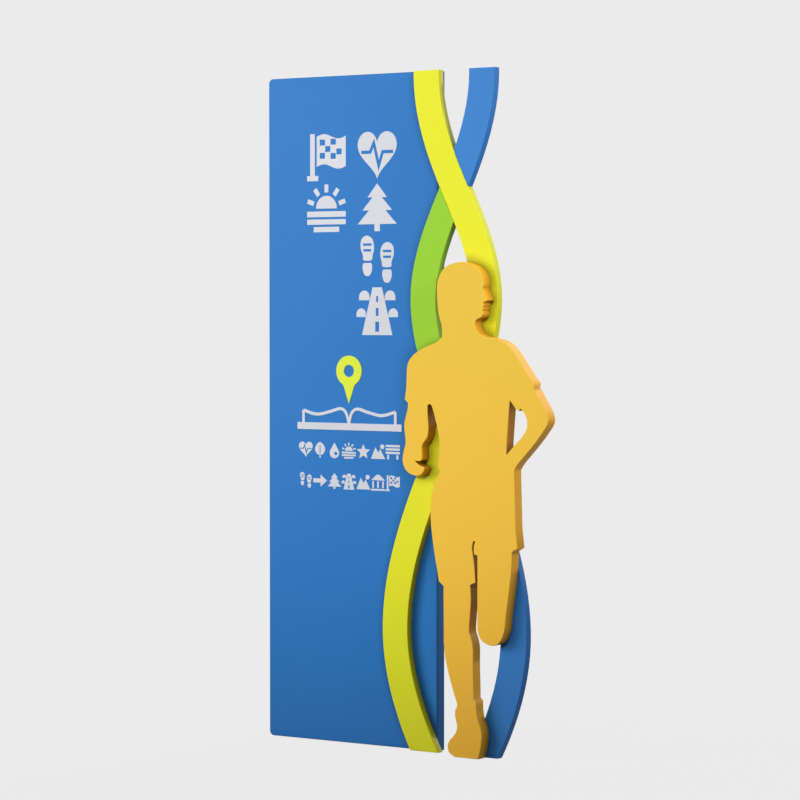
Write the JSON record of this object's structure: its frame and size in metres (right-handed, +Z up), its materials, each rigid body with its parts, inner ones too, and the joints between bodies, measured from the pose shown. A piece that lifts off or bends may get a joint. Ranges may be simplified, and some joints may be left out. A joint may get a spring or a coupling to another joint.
{
  "type": "park interpretation sign",
  "caption": "Tall sheet-metal trail sign: a flat panel box on two foot plates, a double helix of flat ribbon boxes on its right edge and a running figure in front.",
  "frame": {"origin": "on the ground, in the middle of the sign's own footprint", "axes": "+Z up, +X along the panel to the right as seen from the front, -Y towards the reader in front"},
  "size_m": [1.2278, 0.2416, 2.4],
  "materials": {
    "panel_paint": "satin baked enamel, mid blue",
    "ribbon_yellow_paint": "satin baked enamel, lemon yellow",
    "ribbon_blue_paint": "satin baked enamel, bright blue",
    "ribbon_green_paint": "satin baked enamel, apple green",
    "runner_paint": "satin baked enamel, amber",
    "graphic_white": "matt white cut sheet",
    "graphic_yellow": "matt yellow-green cut sheet",
    "frame_primer": "grey zinc-rich primer",
    "zinc": "hot-dip galvanised steel"
  },
  "bodies": {
    "root": {"panel_face": "panel_paint", "panel_edge_left": "panel_paint", "panel_edge_right": "panel_paint", "panel_edge_top": "panel_paint", "panel_back": "panel_paint", "kick_cover": "panel_paint", "post_left": "frame_primer", "post_right": "frame_primer", "rail_top": "frame_primer", "rail_upper": "frame_primer", "rail_chest": "frame_primer", "rail_hip": "frame_primer", "rail_bottom": "frame_primer", "rail_left_chest": "frame_primer", "rail_left_hip": "frame_primer", "outrigger_chest": "frame_primer", "outrigger_hip": "frame_primer", "base_plate_left": "zinc", "base_plate_right": "zinc", "gusset_left": "zinc", "gusset_right": "zinc", "anchor_left_front_a": "zinc", "anchor_left_front_b": "zinc", "anchor_left_rear_a": "zinc", "anchor_left_rear_b": "zinc", "anchor_right_front_a": "zinc", "anchor_right_front_b": "zinc", "anchor_right_rear_a": "zinc", "anchor_right_rear_b": "zinc", "ribbon_yellow_face": "ribbon_yellow_paint", "ribbon_yellow_back": "ribbon_yellow_paint", "ribbon_blue_upper_face": "ribbon_blue_paint", "ribbon_blue_upper_back": "ribbon_blue_paint", "ribbon_green_face": "ribbon_green_paint", "ribbon_green_back": "ribbon_green_paint", "ribbon_blue_lower_face": "ribbon_blue_paint", "ribbon_blue_lower_back": "ribbon_blue_paint", "crossing_plate_upper": "zinc", "crossing_plate_lower": "zinc", "runner_face": "runner_paint", "runner_back": "runner_paint", "runner_spine": "frame_primer", "bolt_chest_green": "zinc", "bolt_chest_spine": "zinc", "bolt_chest_shoulder": "zinc", "bolt_hip_spine": "zinc", "bolt_hip_blue": "zinc", "sleeve_chest": "zinc", "sleeve_hip": "zinc", "stud_yellow_top": "zinc", "stud_yellow_middle": "zinc", "stud_yellow_crest": "zinc", "stud_yellow_foot": "zinc", "stud_green_upper": "zinc", "stud_green_lower": "zinc", "pin_badge": "graphic_yellow", "book_badge": "graphic_white"}
  },
  "joints": []
}
